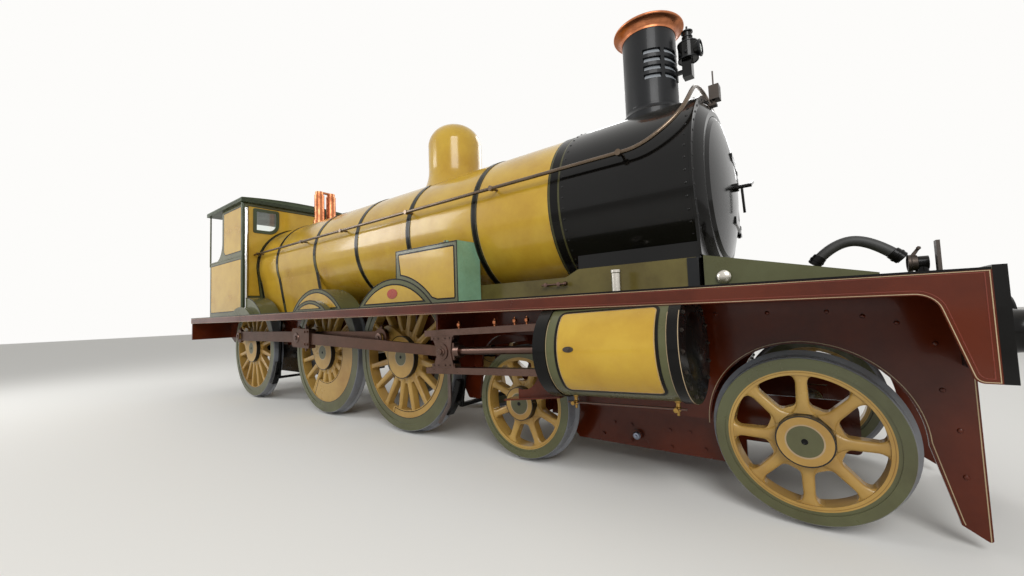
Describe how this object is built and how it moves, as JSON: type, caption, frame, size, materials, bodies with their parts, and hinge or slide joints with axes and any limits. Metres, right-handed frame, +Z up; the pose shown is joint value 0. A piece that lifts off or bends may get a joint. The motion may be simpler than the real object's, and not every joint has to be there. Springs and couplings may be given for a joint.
{
  "type": "steam locomotive",
  "caption": "Steam locomotive with a leading bogie, coupled driving wheels, outside cylinders and an open-backed cab, painted ochre, olive and maroon; rolls on rails.",
  "frame": {"origin": "middle of the bounding box's base: halfway along the engine from buffer heads to drawbar lugs, on its centre line, at the bottom of the wheel flanges", "axes": "+X along the engine to its chimney end, +Y to its left side, +Z up"},
  "size_m": [10.703, 2.77, 3.788],
  "materials": {
    "yellow_paint": "gloss ochre paint",
    "olive_paint": "gloss olive green paint",
    "frame_paint": "gloss maroon paint",
    "black_paint": "gloss black paint",
    "steel": "oiled bright steel",
    "tyre_steel": "steel with olive green paint on the face",
    "copper": "polished copper",
    "timber": "worn boards",
    "rubber": "canvas-covered rubber"
  },
  "bodies": {
    "engine": {"main_frames": "frame_paint", "frame_stays": "frame_paint", "axleboxes": "steel", "running_plate": "black_paint", "valances": "frame_paint", "buffer_beam": "black_paint", "drag_beam": "black_paint", "buffers": "black_paint", "draw_hook": "steel", "splashers": "olive_paint", "sand_pipes": "copper", "vacuum_hose": "rubber", "lamp_irons": "black_paint", "sand_boxes": "yellow_paint", "boiler": "yellow_paint", "firebox": "yellow_paint", "ashpan": "black_paint", "boiler_bands": "olive_paint", "smokebox": "black_paint", "smokebox_front": "black_paint", "saddle": "black_paint", "front_casing": "olive_paint", "chimney": "black_paint", "chimney_cap": "copper", "dome": "yellow_paint", "safety_valves": "copper", "head_lamp": "black_paint", "handrails": "steel", "standpipe": "black_paint", "cab_front": "yellow_paint", "cab_sides": "yellow_paint", "backhead_fittings": "steel", "cab_roof": "olive_paint", "cab_floor": "timber", "cylinders": "yellow_paint", "cylinder_covers": "black_paint", "slide_bars": "steel", "motion_brackets": "frame_paint"},
    "bogie": {"bogie_frame": "frame_paint"},
    "front_bogie_axle": {"front_bogie_wheels": "yellow_paint", "front_bogie_tyres": "tyre_steel"},
    "rear_bogie_axle": {"rear_bogie_wheels": "yellow_paint", "rear_bogie_tyres": "tyre_steel"},
    "leading_axle": {"leading_wheels": "yellow_paint", "leading_tyres": "tyre_steel"},
    "main_axle": {"main_wheels": "yellow_paint", "main_tyres": "tyre_steel"},
    "trailing_axle": {"trailing_wheels": "yellow_paint", "trailing_tyres": "tyre_steel"},
    "coupling_rod_right": {"coupling_rod_right": "steel"},
    "coupling_rod_left": {"coupling_rod_left": "steel"},
    "crosshead_right": {"crosshead_right": "steel"},
    "crosshead_left": {"crosshead_left": "steel"},
    "connecting_rod_right": {"connecting_rod_right": "steel"},
    "connecting_rod_left": {"connecting_rod_left": "steel"},
    "smokebox_door": {"smokebox_door": "black_paint"}
  },
  "joints": [
    {"name": "bogie_pivot", "type": "hinge", "parent": "engine", "child": "bogie", "pos_m": [3.167, 0, 0.778], "axis": [0, 0, 1], "range_deg": [-2, 2]},
    {"name": "front_bogie_roll", "type": "hinge", "parent": "bogie", "child": "front_bogie_axle", "pos_m": [4.1575, 0, 0.493], "axis": [0, 1, 0], "continuous": true},
    {"name": "rear_bogie_roll", "type": "hinge", "parent": "bogie", "child": "rear_bogie_axle", "pos_m": [2.1765, 0, 0.493], "axis": [0, 1, 0], "continuous": true},
    {"name": "main_roll", "type": "hinge", "parent": "engine", "child": "main_axle", "pos_m": [-1.0995, 0, 0.828], "axis": [0, 1, 0], "continuous": true},
    {"name": "leading_roll", "type": "hinge", "parent": "engine", "child": "leading_axle", "pos_m": [0.5765, 0, 0.828], "axis": [0, 1, 0], "continuous": true},
    {"name": "trailing_roll", "type": "hinge", "parent": "engine", "child": "trailing_axle", "pos_m": [-3.4615, 0, 0.828], "axis": [0, 1, 0], "continuous": true},
    {"name": "coupling_rod_right_turn", "type": "hinge", "parent": "main_axle", "child": "coupling_rod_right", "pos_m": [-1.3189, -0.935, 1.03987], "axis": [0, 1, 0], "continuous": true},
    {"name": "crosshead_right_slide", "type": "slide", "parent": "engine", "child": "crosshead_right", "axis": [0.9991, 0, 0.0416], "range_m": [-0.0855, 0.5235]},
    {"name": "connecting_rod_right_swing", "type": "hinge", "parent": "crosshead_right", "child": "connecting_rod_right", "pos_m": [1.4992, -1.05, 0.93628], "axis": [0, 1, 0], "range_deg": [-10.7, 1.72]},
    {"name": "coupling_rod_left_turn", "type": "hinge", "parent": "main_axle", "child": "coupling_rod_left", "pos_m": [-1.31137, 0.935, 0.6086], "axis": [0, 1, 0], "continuous": true},
    {"name": "crosshead_left_slide", "type": "slide", "parent": "engine", "child": "crosshead_left", "axis": [0.9991, 0, 0.0416], "range_m": [-0.0758, 0.5332]},
    {"name": "connecting_rod_left_swing", "type": "hinge", "parent": "crosshead_left", "child": "connecting_rod_left", "pos_m": [1.48957, 1.05, 0.93588], "axis": [0, 1, 0], "range_deg": [-1.93, 10.49]},
    {"name": "smokebox_door_swing", "type": "hinge", "parent": "engine", "child": "smokebox_door", "pos_m": [3.7005, 0.64, 2.205], "axis": [0, 0, 1], "range_deg": [0, 120]}
  ],
  "couplings": [
    {"joint": "leading_roll", "follows": "main_roll", "ratio": 1},
    {"joint": "trailing_roll", "follows": "main_roll", "ratio": 1},
    {"joint": "coupling_rod_right_turn", "follows": "main_roll", "ratio": -1},
    {"joint": "coupling_rod_left_turn", "follows": "main_roll", "ratio": -1}
  ]
}
